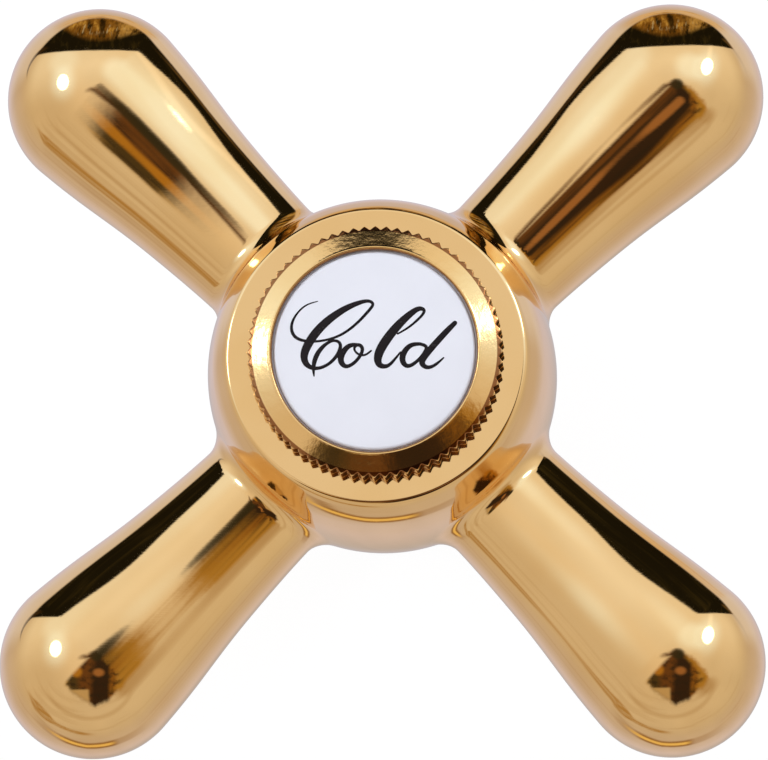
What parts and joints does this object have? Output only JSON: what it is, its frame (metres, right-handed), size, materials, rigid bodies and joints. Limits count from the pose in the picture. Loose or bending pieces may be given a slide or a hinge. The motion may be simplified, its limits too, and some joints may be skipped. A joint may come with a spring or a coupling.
{
  "type": "cross handle tap",
  "caption": "Cross handle tap head: polished four-armed handle with knurled index ring and porcelain index, on a screw-down headwork that lifts a washered valve.",
  "frame": {"origin": "on the spindle axis, in the plane where the flange seal meets the tap body", "axes": "+Z along the spindle axis out of the top of the handle; +X and +Y halfway between the arms, +Y towards the top of the lettering"},
  "size_m": [0.061, 0.061, 0.0508],
  "materials": {
    "gold_plate": "polished gold plate on cast brass",
    "gold_turned": "gold plate over a finely turned face, knurled edge",
    "porcelain": "white glazed porcelain",
    "enamel_black": "fired black enamel lettering",
    "foam": "soft grey washer",
    "spring_steel": "spring steel",
    "stainless": "bright stainless",
    "rubber_black": "black rubber",
    "brass_raw": "machined brass",
    "nylon": "natural nylon",
    "fibre_red": "vulcanised fibre"
  },
  "bodies": {
    "headwork": {"bonnet": "brass_raw", "flange_seal": "fibre_red", "top_washer": "nylon", "thrust_washer": "nylon"},
    "handle": {"handle_body": "gold_plate", "fixing_screw": "stainless", "spring_washer": "spring_steel", "screw_washer": "stainless", "spline_insert": "brass_raw", "spindle": "brass_raw", "spindle_orings": "rubber_black", "spindle_circlip": "spring_steel"},
    "valve": {"lift_nut": "brass_raw", "jumper": "brass_raw", "tap_washer": "rubber_black", "washer_nut": "brass_raw"},
    "index": {"porcelain_index": "porcelain", "index_pad": "foam"},
    "index_ring": {"index_bezel": "gold_turned", "index_clip": "spring_steel", "bezel_oring": "rubber_black"}
  },
  "joints": [
    {"name": "handle_turn", "type": "hinge", "parent": "headwork", "child": "handle", "pos_m": [0, 0, 0.016], "axis": [0, 0, 1], "range_deg": [0, 840]},
    {"name": "valve_lift", "type": "slide", "parent": "headwork", "child": "valve", "axis": [0, 0, 1], "range_m": [0, 0.0035]},
    {"name": "index_lift", "type": "slide", "parent": "handle", "child": "index", "axis": [0, 0, 1], "range_m": [0, 0.004]},
    {"name": "ring_unscrew", "type": "hinge", "parent": "index", "child": "index_ring", "pos_m": [0, 0, 0.026], "axis": [0, 0, 1], "range_deg": [0, 1440]}
  ],
  "couplings": [
    {"joint": "valve_lift", "follows": "handle_turn", "m_per_rad": 0.00023873},
    {"joint": "index_lift", "follows": "ring_unscrew", "m_per_rad": 0.00015915}
  ]
}
